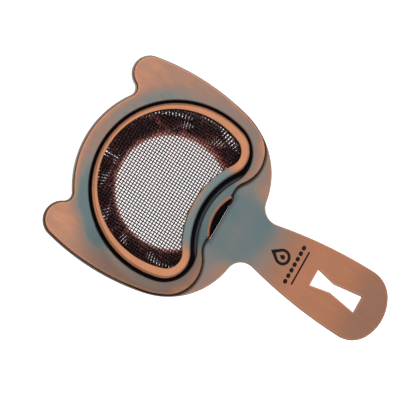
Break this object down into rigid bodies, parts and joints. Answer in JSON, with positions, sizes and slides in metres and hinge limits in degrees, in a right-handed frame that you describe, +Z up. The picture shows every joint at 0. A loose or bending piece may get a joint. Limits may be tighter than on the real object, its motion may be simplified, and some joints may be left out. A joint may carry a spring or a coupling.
{
  "type": "hawthorne strainer",
  "caption": "Bar strainer with an eared ring, a grip with a hanging hole, a lift-off kidney-shaped mesh plate and a coil spring bent round underneath.",
  "frame": {"origin": "middle of the footprint, at the lowest point of the spring", "axes": "+X from the ring along the handle, +Y across, +Z up from the spring towards the mesh plate"},
  "size_m": [0.1674, 0.106, 0.0181],
  "materials": {
    "copper_plate": "antique copper, brushed, with a blue-green patina and worn bright edges",
    "copper_rim": "plain satin copper",
    "mesh": "darkened copper-plated wire cloth",
    "spring_wire": "darkened copper-plated wire"
  },
  "bodies": {
    "frame": {"handle_plate": "copper_plate", "spring_lug_left": "copper_plate", "spring_lug_right": "copper_plate"},
    "basket": {"top_plate": "copper_plate", "mesh_bezel": "copper_rim", "mesh_screen": "mesh", "mesh_backing_ring": "copper_rim"},
    "spring": {"spring_coil": "spring_wire"}
  },
  "joints": [
    {"name": "basket_lift", "type": "slide", "parent": "frame", "child": "basket", "axis": [0, 0, 1], "range_m": [0, 0.03]},
    {"name": "spring_squeeze", "type": "slide", "parent": "frame", "child": "spring", "axis": [1, 0, 0], "range_m": [0, 0.004], "stiffness_N_per_m": 800, "deforming": ["spring_coil"]}
  ]
}
